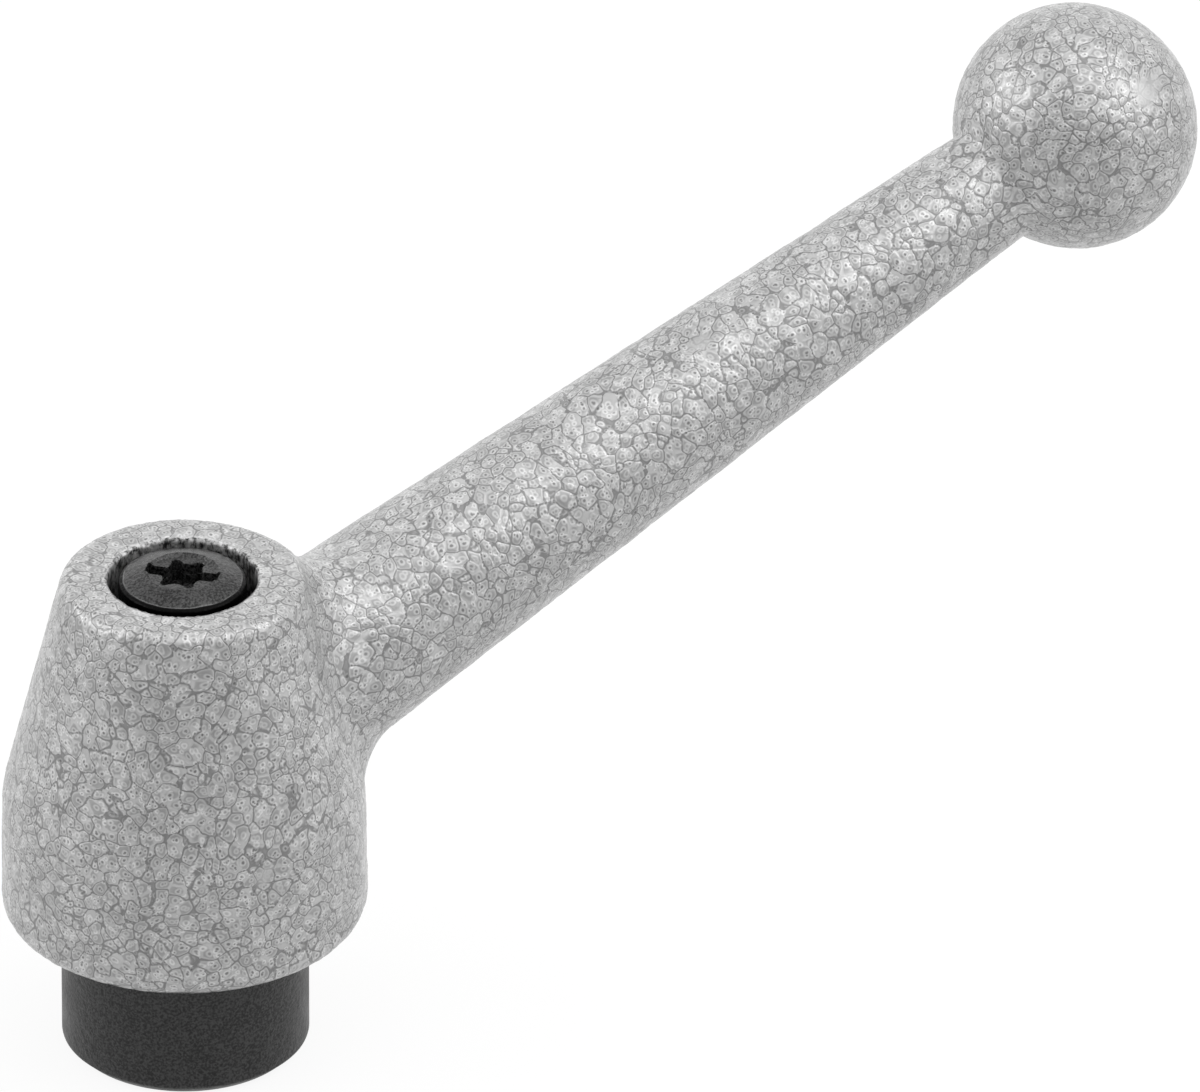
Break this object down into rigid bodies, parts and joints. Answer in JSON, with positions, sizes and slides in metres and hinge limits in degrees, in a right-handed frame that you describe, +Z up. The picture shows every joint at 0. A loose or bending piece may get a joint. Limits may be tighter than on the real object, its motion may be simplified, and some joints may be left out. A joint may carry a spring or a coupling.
{
  "type": "adjustable clamping lever",
  "caption": "Adjustable clamping lever: painted cast hub with a rising tapered arm and ball grip, indexing on a serrated steel insert with a blind M16 thread.",
  "frame": {"origin": "centre of the insert's lower clamping face, on the axis of its M16 thread", "axes": "+Z up the thread axis towards the retaining screw; +X the level direction in which the arm points as it rises"},
  "size_m": [0.1331, 0.0354, 0.081],
  "materials": {
    "hammertone_paint": "silver-grey hammertone enamel on a casting",
    "blackened_steel": "turned and black-oxidised",
    "blackened_screw": "cold-headed and black-oxidised",
    "spring_steel": "drawn wire"
  },
  "bodies": {
    "insert_body": {"serrated_insert": "blackened_steel", "retaining_screw": "blackened_screw"},
    "spring_body": {"compression_spring": "spring_steel"},
    "lever_body": {"lever": "hammertone_paint"}
  },
  "joints": [
    {"name": "index", "type": "hinge", "parent": "insert_body", "child": "spring_body", "pos_m": [0, 0, 0.035], "axis": [0, 0, 1], "continuous": true},
    {"name": "lift", "type": "slide", "parent": "spring_body", "child": "lever_body", "axis": [0, 0, 1], "range_m": [0, 0.006], "stiffness_N_per_m": 5000, "springref_m": -0.003, "deforming": ["compression_spring"]}
  ]
}
